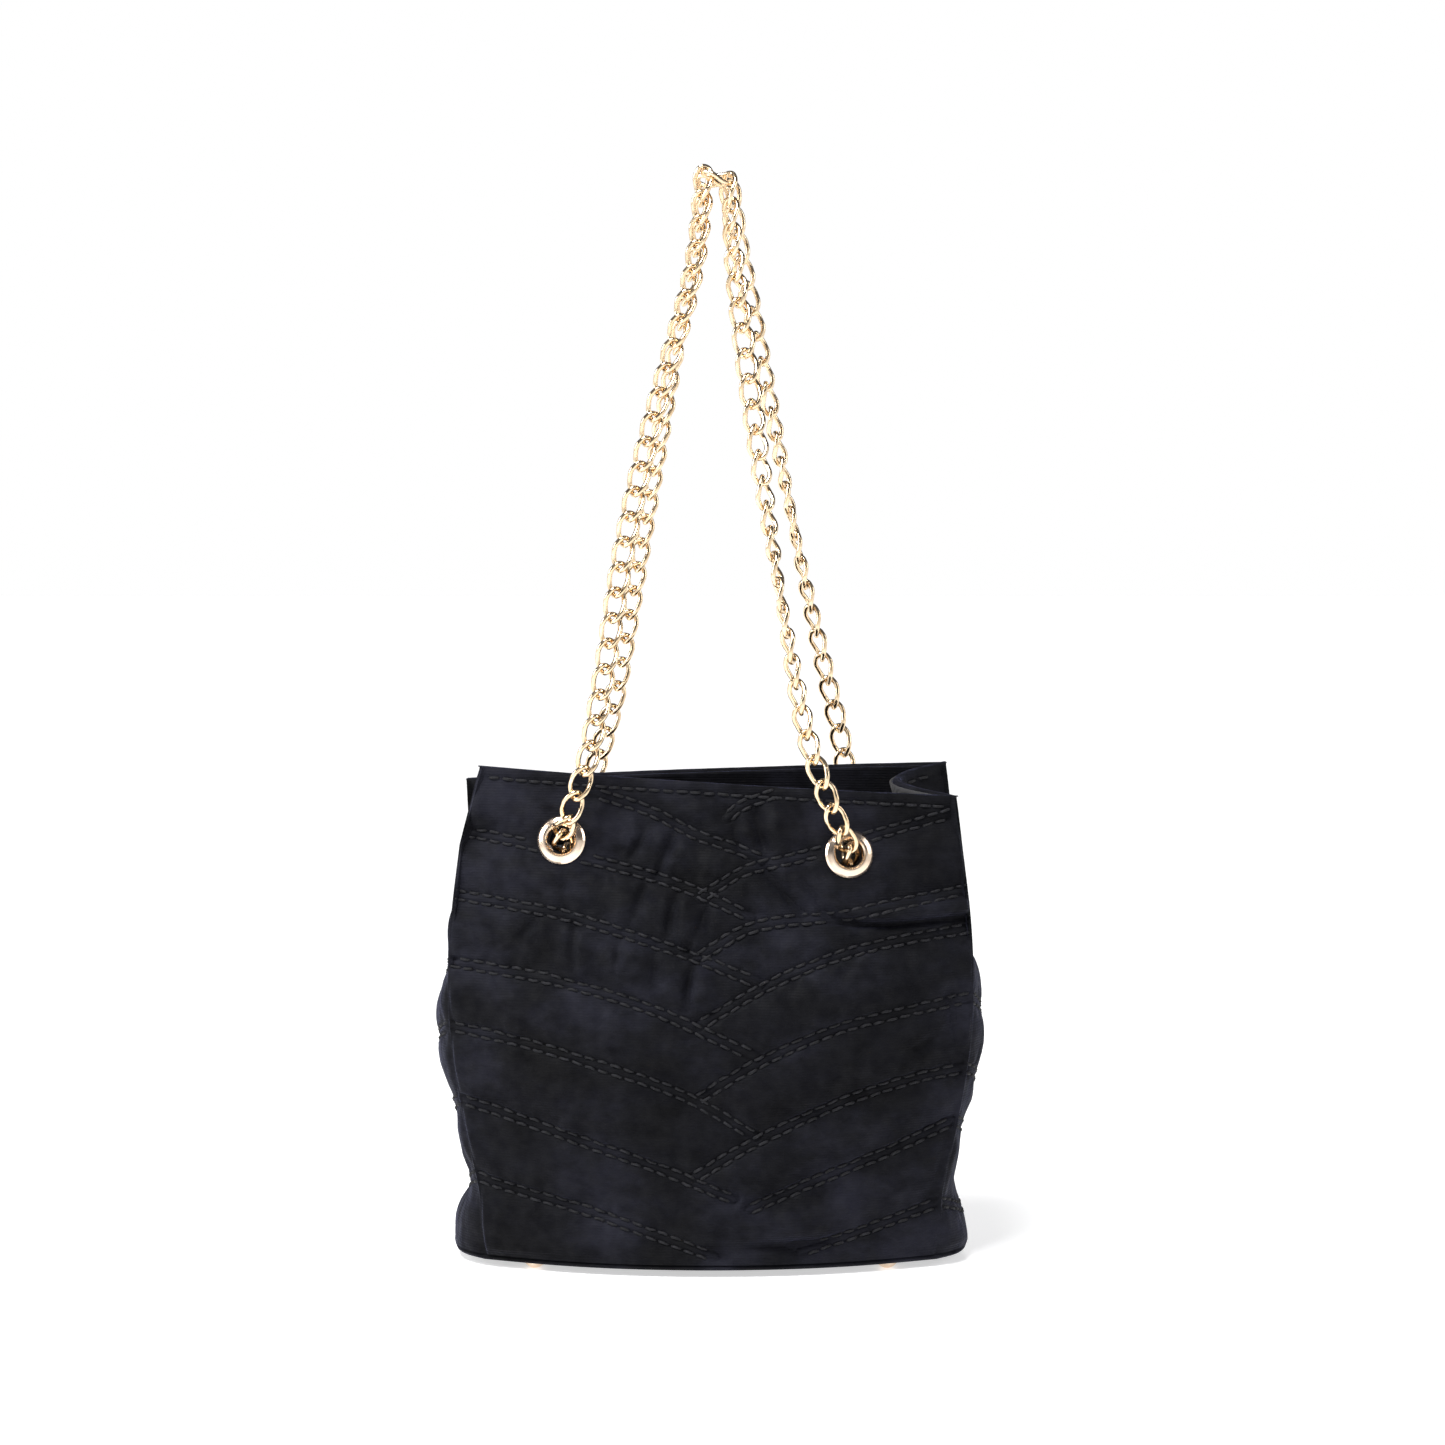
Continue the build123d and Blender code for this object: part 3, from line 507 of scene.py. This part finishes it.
def hem_line(name, outer):
    """The topstitched row just under the mouth's edge, as (u, z)."""
    top = outer[-1]
    u = top[:, 0] if name in ("front", "back") else top[:, 1]
    keep = slice(4, -4, 6)
    return np.stack([u[keep], top[keep, 2] - HEM_DROP], axis=1)


def stitches(name, outer, lines, material):
    """Each visible thread of the quilting and the hem, lying in its dimple."""
    rows, columns, _ = outer.shape
    sheet = outer.reshape(-1, 3)
    tree = BVHTree.FromPolygons([Vector(p) for p in sheet], grid_faces(rows, columns, False))
    flat = name in ("front", "back")
    into = Vector((0, -SIGN[name], 0)) if flat else Vector((-SIGN[name], 0, 0))
    away = 300.0 * SIGN[name]

    def on_surface(u, z):
        start = Vector((u, away, z)) if flat else Vector((away, u, z))
        hit, normal, _, _ = tree.ray_cast(start, into)
        if hit is None:
            return None
        if normal.dot(into) > 0:
            normal = -normal
        return np.array(hit), np.array(normal)

    rng = np.random.default_rng({"front": 5, "back": 6, "left": 7, "right": 8}[name])
    paths = []
    for line in lines:
        paths += [offset_row(line, ROW_SPACING / 2), offset_row(line, -ROW_SPACING / 2)]
    paths.append(hem_line(name, outer))
    verts, faces = [], []
    for path in paths:
        size = np.linalg.norm(np.diff(path, axis=0), axis=1)
        run = np.concatenate([[0], np.cumsum(size)])
        start = rng.uniform(0.5, 3.0)
        while start + STITCH_SHOWN < run[-1] - 0.5:
            wander = rng.normal(0, 0.12, 2)
            shown = STITCH_SHOWN * rng.uniform(0.94, 1.06)
            points = []
            for share, _, lift in THREAD_SHAPE:
                at = start + share * shown
                tilt = wander[0] + (wander[1] - wander[0]) * share
                u = np.interp(at, run, path[:, 0])
                z = np.interp(at, run, path[:, 1]) + tilt
                found = on_surface(u, z)
                if found is None:
                    break
                points.append(found[0] + found[1] * lift)
            start += STITCH_PITCH * rng.uniform(0.98, 1.02)
            if len(points) < len(THREAD_SHAPE):
                continue
            middle = points[2]
            if flat and any(
                math.hypot(middle[0] - x, middle[2] - z) < STITCH_GAP
                for x, z in (EYELETS[(name, "left")], EYELETS[(name, "right")])
            ):
                continue
            v, f = tube(points, [radius * THREAD_RADIUS for _, radius, _ in THREAD_SHAPE])
            faces += [tuple(i + len(verts) for i in face) for face in f]
            verts += v
    return mesh_object(f"thread_{name}", verts, faces, material)


def inside_layer(name, label, columns, rows, material, low, drop_top, drop_low=None, seed=3,
                 wave=0.35):
    """A thin layer inside a wall: facing or lining."""
    points, normal, _ = wall(name, columns, rows, low, drop_top, drop_low)
    across = seam_distance(points).min(axis=0) > SEAM_CLEAR
    points, normal, columns = points[:, across], normal[:, across], int(across.sum())
    u = points[:, :, 0] if name in ("front", "back") else points[:, :, 1]
    v = points[:, :, 2]
    soft = wave * (noise(u / 17, v / 26, seed) + 0.5 * noise(u / 7, v / 11, seed + 1))
    far = points - normal * (LINING_FAR + 0.3 + soft)[:, :, None]
    near = points - normal * LINING_NEAR
    skip = holes(eyelet_distance(name, points))
    faces = grid_faces(rows, columns, FLIP[name], skip)
    faces += grid_faces(rows, columns, not FLIP[name], skip, rows * columns)
    ring = list(range(columns))
    ring += [i * columns + columns - 1 for i in range(1, rows)]
    ring += [(rows - 1) * columns + j for j in range(columns - 2, -1, -1)]
    ring += [i * columns for i in range(rows - 2, 0, -1)]
    for a, b in zip(ring, ring[1:] + ring[:1]):
        quad = (a, b, b + rows * columns, a + rows * columns)
        faces.append(quad[::-1] if not FLIP[name] else quad)
    verts = np.concatenate([near.reshape(-1, 3), far.reshape(-1, 3)])
    return mesh_object(f"{name}_{label}", verts, faces, material)


def base_outline(count):
    """The floor outline as one closed run of points, counterclockwise from above."""
    z = np.array([FLOOR_EDGE, FLOOR_EDGE + 1])
    runs = [smooth_through(section_points(z, name), count)[0]
            for name in ("front", "right", "back", "left")]
    runs[2], runs[3] = runs[2][::-1], runs[3][::-1]
    return np.concatenate([run[:-1] for run in runs])


def base_piece(name, low, high, inset, material, grain, seed, round_by):
    """The oval base or its lining: a soft slab with a rounded rim."""
    outline = base_outline(64)
    count = len(outline)
    step = np.roll(outline, -1, axis=0) - np.roll(outline, 1, axis=0)
    step /= np.linalg.norm(step, axis=1, keepdims=True)
    inward = np.stack([-step[:, 1], step[:, 0]], axis=1)
    rim = []
    for turn in (90, 60, 30, 0, -30, -60, -90):
        a = math.radians(turn)
        line = outline + inward * (inset + round_by * (1 - math.cos(a)))
        height = (low + high) / 2 + (high - low) / 2 * math.sin(a)
        rim.append(np.column_stack([line, np.full(count, height)]))

    def flat_ring(edge, share, height, swell, period, number):
        line = edge.copy()
        line[:, :2] *= share
        soft = 0.5 + 0.5 * noise(line[:, 0] / period, line[:, 1] / period, number)
        line[:, 2] = height + swell * soft * min(1, (1 - share) * 12)
        return line

    shares = np.linspace(1, 0.0, 26)[1:]
    top = [flat_ring(rim[0], share, high, -grain, 12, seed + 1) for share in shares[::-1]]
    under = [flat_ring(rim[-1], share, low, grain, 11, seed) for share in shares]
    rings = top + rim + under
    verts = np.concatenate(rings)
    faces = []
    for i in range(len(rings) - 1):
        for j in range(count):
            a, b = i * count + j, i * count + (j + 1) % count
            faces.append((a, a + count, b + count, b))
    return mesh_object(name, verts, faces, material)


# ---- Materials --------------------------------------------------------------------------
def new_material(name, roughness, metallic=0.0):
    mat = bpy.data.materials.new(name)
    mat.use_nodes = True
    nodes, links = mat.node_tree.nodes, mat.node_tree.links
    shader = nodes["Principled BSDF"]
    shader.inputs["Roughness"].default_value = roughness
    shader.inputs["Metallic"].default_value = metallic
    coords = nodes.new("ShaderNodeTexCoord")
    return mat, nodes, links, shader, coords.outputs["Object"]


def stretched(nodes, links, vector, scale):
    mapping = nodes.new("ShaderNodeMapping")
    mapping.inputs["Scale"].default_value = scale
    links.new(vector, mapping.inputs["Vector"])
    return mapping.outputs["Vector"]


def noise_node(nodes, links, vector, scale, detail=4.0, roughness=0.55):
    node = nodes.new("ShaderNodeTexNoise")
    node.inputs["Scale"].default_value = scale
    node.inputs["Detail"].default_value = detail
    node.inputs["Roughness"].default_value = roughness
    links.new(vector, node.inputs["Vector"])
    return node.outputs["Fac"]


def ramp(nodes, links, value, stops):
    node = nodes.new("ShaderNodeValToRGB")
    node.color_ramp.elements[0].position, node.color_ramp.elements[0].color = stops[0]
    node.color_ramp.elements[1].position, node.color_ramp.elements[1].color = stops[-1]
    for place, colour in stops[1:-1]:
        node.color_ramp.elements.new(place).color = colour
    links.new(value, node.inputs["Fac"])
    return node.outputs["Color"]


def bump(nodes, links, height, strength, distance, below=None):
    node = nodes.new("ShaderNodeBump")
    node.inputs["Strength"].default_value = strength
    node.inputs["Distance"].default_value = distance
    links.new(height, node.inputs["Height"])
    if below is not None:
        links.new(below, node.inputs["Normal"])
    return node.outputs["Normal"]


def velvet_material():
    mat, nodes, links, shader, at = new_material("black_velvet", 0.82)
    # Base colour from two noises: partly random nap tone, partly painted sheen. The lighter
    # bluish patches stand in for light caught by the pile.
    nap_tone_and_sheen = noise_node(nodes, links, stretched(nodes, links, at, (0.6, 0.6, 1.0)), 48, 7, 0.62)
    broad_tone_and_sheen = noise_node(nodes, links, at, 15, 3, 0.5)
    both = nodes.new("ShaderNodeMix")
    both.inputs["Factor"].default_value = 0.42
    links.new(nap_tone_and_sheen, both.inputs["A"])
    links.new(broad_tone_and_sheen, both.inputs["B"])
    nap_tone_and_sheen = both.outputs["Result"]
    colour = ramp(nodes, links, nap_tone_and_sheen, [
        (0.37, (0.0008, 0.0008, 0.0013, 1)),
        (0.50, (0.0026, 0.0027, 0.0044, 1)),
        (0.63, (0.0095, 0.0097, 0.0155, 1)),
    ])
    links.new(colour, shader.inputs["Base Color"])
    rough = ramp(nodes, links, noise_node(nodes, links, at, 160, 3), [
        (0.35, (0.70, 0.70, 0.70, 1)), (0.70, (0.95, 0.95, 0.95, 1))])
    links.new(rough, shader.inputs["Roughness"])
    shader.inputs["Sheen Weight"].default_value = 0.15
    shader.inputs["Sheen Roughness"].default_value = 0.34
    shader.inputs["Sheen Tint"].default_value = (0.31, 0.33, 0.60, 1)
    shader.inputs["Specular IOR Level"].default_value = 0.12
    weave = nodes.new("ShaderNodeTexWave")
    weave.bands_direction = "Z"
    weave.inputs["Scale"].default_value = 260
    weave.inputs["Distortion"].default_value = 1.6
    weave.inputs["Detail"].default_value = 2
    weave.inputs["Detail Scale"].default_value = 1.4
    links.new(at, weave.inputs["Vector"])
    pile = noise_node(nodes, links, stretched(nodes, links, at, (1, 1, 1.6)), 900, 3, 0.7)
    crush = noise_node(nodes, links, at, 210, 4, 0.6)
    normal = bump(nodes, links, crush, 0.35, 0.0012)
    normal = bump(nodes, links, weave.outputs["Fac"], 0.30, 0.00035, normal)
    normal = bump(nodes, links, pile, 0.35, 0.0004, normal)
    links.new(normal, shader.inputs["Normal"])
    return mat


def thread_material():
    mat, nodes, links, shader, at = new_material("black_thread", 0.72)
    tone = ramp(nodes, links, noise_node(nodes, links, at, 700, 2), [
        (0.35, (0.0036, 0.0036, 0.0046, 1)), (0.70, (0.0110, 0.0110, 0.0145, 1))])
    links.new(tone, shader.inputs["Base Color"])
    shader.inputs["Specular IOR Level"].default_value = 0.26
    twist = nodes.new("ShaderNodeTexWave")
    twist.bands_direction = "DIAGONAL"
    twist.inputs["Scale"].default_value = 420
    links.new(at, twist.inputs["Vector"])
    links.new(bump(nodes, links, twist.outputs["Fac"], 0.5, 0.0002), shader.inputs["Normal"])
    return mat


def lining_material():
    mat, nodes, links, shader, at = new_material("black_twill", 0.72)
    tone = ramp(nodes, links, noise_node(nodes, links, at, 60, 4), [
        (0.30, (0.010, 0.010, 0.011, 1)), (0.75, (0.024, 0.024, 0.027, 1))])
    links.new(tone, shader.inputs["Base Color"])
    shader.inputs["Sheen Weight"].default_value = 0.08
    twill = nodes.new("ShaderNodeTexWave")
    twill.bands_direction = "DIAGONAL"
    twill.inputs["Scale"].default_value = 300
    twill.inputs["Distortion"].default_value = 0.6
    links.new(at, twill.inputs["Vector"])
    normal = bump(nodes, links, noise_node(nodes, links, at, 1400, 2), 0.25, 0.0002)
    normal = bump(nodes, links, twill.outputs["Fac"], 0.4, 0.0003, normal)
    links.new(normal, shader.inputs["Normal"])
    return mat


def gold_material(name, deep, pale, roughness, worn):
    """Polished plating: fine hairlines, small dulled patches and a slightly uneven tone."""
    mat, nodes, links, shader, at = new_material(name, roughness, 1.0)
    tone = ramp(nodes, links, noise_node(nodes, links, at, 130, 4), [
        (0.32, deep + (1,)), (0.68, pale + (1,))])
    links.new(tone, shader.inputs["Base Color"])
    smear = noise_node(nodes, links, at, 320, 5, 0.65)
    rough = ramp(nodes, links, smear, [
        (0.35, (roughness * 0.75,) * 3 + (1,)), (0.62, (roughness,) * 3 + (1,)),
        (0.80, (worn,) * 3 + (1,))])
    links.new(rough, shader.inputs["Roughness"])
    hair = noise_node(nodes, links, stretched(nodes, links, at, (1, 1, 9)), 700, 3, 0.7)
    links.new(bump(nodes, links, hair, 0.04, 0.00004), shader.inputs["Normal"])
    return mat


def board_material():
    mat, nodes, links, shader, at = new_material("fibre_board", 0.85)
    tone = ramp(nodes, links, noise_node(nodes, links, at, 380, 5, 0.7), [
        (0.30, (0.19, 0.15, 0.11, 1)), (0.75, (0.36, 0.30, 0.23, 1))])
    links.new(tone, shader.inputs["Base Color"])
    links.new(bump(nodes, links, noise_node(nodes, links, at, 900, 3), 0.3, 0.0003),
              shader.inputs["Normal"])
    return mat


VELVET = velvet_material()
THREAD = thread_material()
TWILL = lining_material()
CHAIN_GOLD = gold_material(
    "chain_plating", (0.72, 0.54, 0.34), (0.84, 0.67, 0.46), 0.20, 0.32)
HARDWARE_GOLD = gold_material(
    "hardware_plating", (0.74, 0.58, 0.44), (0.85, 0.70, 0.56), 0.22, 0.34)
BOARD = board_material()

# ---- The fabric pieces ------------------------------------------------------------------
SIZES = {"front": (330, 300), "back": (330, 300), "left": (150, 300), "right": (150, 300)}
for name, (columns, rows) in SIZES.items():
    node = f"{name}_panel" if name in ("front", "back") else f"{name}_gusset"
    cloth, outer, lines = quilted(name, columns, rows, VELVET)
    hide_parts(node)
    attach(cloth, "bag")
    thread = stitches(name, outer, lines, THREAD)
    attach(thread, "bag")

for name in ("front", "back"):
    facing = inside_layer(name, "facing_cloth", 180, 30, VELVET, FLOOR_EDGE, EDGE_DROP,
                          FACING_DEPTH, 31, 0.12)
    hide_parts(f"{name}_facing")
    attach(facing, "bag")
    lining = inside_layer(name, "lining_cloth", 120, 90, TWILL, LINING_LOW, FACING_DEPTH + 0.4,
                          None, 51)
    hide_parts(f"{name}_lining")
    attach(lining, "bag")
for name in ("left", "right"):
    lining = inside_layer(name, "lining_cloth", 70, 110, TWILL, LINING_LOW, EDGE_DROP, None, 71)
    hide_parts(f"{name}_gusset_lining")
    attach(lining, "bag")

underside = base_piece("velvet_base", 3.0, 5.5, 0.4, VELVET, 0.5, 91, 1.6)
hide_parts("base_panel")
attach(underside, "bag")
floor_cloth = base_piece("floor_lining", 10.4, 11.2, 5.6, TWILL, 0.25, 95, 0.3)
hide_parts("base_lining")
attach(floor_cloth, "bag")

# ---- The CAD pieces that show as they are -----------------------------------------------
for name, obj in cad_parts.items():
    if "chain" in name or "apex" in name:
        plating = CHAIN_GOLD
    elif "eyelet" in name or "foot" in name or "snap" in name:
        plating = HARDWARE_GOLD
    elif name == "base_board":
        plating = BOARD
    else:
        plating = TWILL if "lining" in name else VELVET
    for place in obj.material_slots:
        place.material = plating

# ---- Floor, light and camera ------------------------------------------------------------
floor_material, nodes, links, shader, at = new_material("floor", 0.22)
links.new(ramp(nodes, links, noise_node(nodes, links, at, 3, 2), [
    (0.3, (0.90, 0.90, 0.90, 1)), (0.7, (0.93, 0.93, 0.93, 1))]), shader.inputs["Base Color"])
shader.inputs["Specular IOR Level"].default_value = 0.35
shader.inputs["Emission Color"].default_value = (1, 1, 1, 1)
shader.inputs["Emission Strength"].default_value = 0.55
floor = mesh_object("floor", [(-9000, -9000, -0.05), (9000, -9000, -0.05), (9000, 9000, -0.05),
                              (-9000, 9000, -0.05)], [(0, 1, 2, 3)], floor_material, False)

world = bpy.data.worlds.new("studio")
bpy.context.scene.world = world
world.use_nodes = True
nodes, links = world.node_tree.nodes, world.node_tree.links
coords = nodes.new("ShaderNodeTexCoord")
split = nodes.new("ShaderNodeSeparateXYZ")
links.new(coords.outputs["Generated"], split.inputs["Vector"])
sky = ramp(nodes, links, split.outputs["Z"], [
    (0.0, (1.0, 1.0, 1.0, 1)), (0.17, (1.0, 1.0, 1.0, 1)), (0.30, (0.10, 0.10, 0.11, 1))])
links.new(sky, nodes["Background"].inputs["Color"])
nodes["Background"].inputs["Strength"].default_value = 1.0


def softbox(name, place, aim, size, power):
    light = bpy.data.lights.new(name, "AREA")
    light.shape = "RECTANGLE"
    light.size, light.size_y = size
    light.energy = power
    obj = bpy.data.objects.new(name, light)
    bpy.context.scene.collection.objects.link(obj)
    obj.location = place
    obj.rotation_euler = (Vector(aim) - Vector(place)).to_track_quat("-Z", "Y").to_euler()


softbox("top_box", (-0.45, -0.75, 1.75), (0, 0, 0.1), (0.7, 0.7), 46)
softbox("left_box", (-1.7, -0.45, 0.9), (0, 0, 0.15), (0.4, 1.0), 19)
softbox("right_box", (1.7, -0.5, 1.0), (0, 0, 0.15), (0.4, 1.0), 8)

camera = bpy.data.objects.new("camera", bpy.data.cameras.new("camera"))
bpy.context.scene.collection.objects.link(camera)
camera.data.sensor_width = 36
camera.data.lens = 82.2
camera.location = (0.0052, -1.5, 0.350)
camera.rotation_euler = (math.radians(90 - 4.1), 0, 0)
bpy.context.scene.camera = camera
bpy.context.scene.view_settings.view_transform = "Standard"
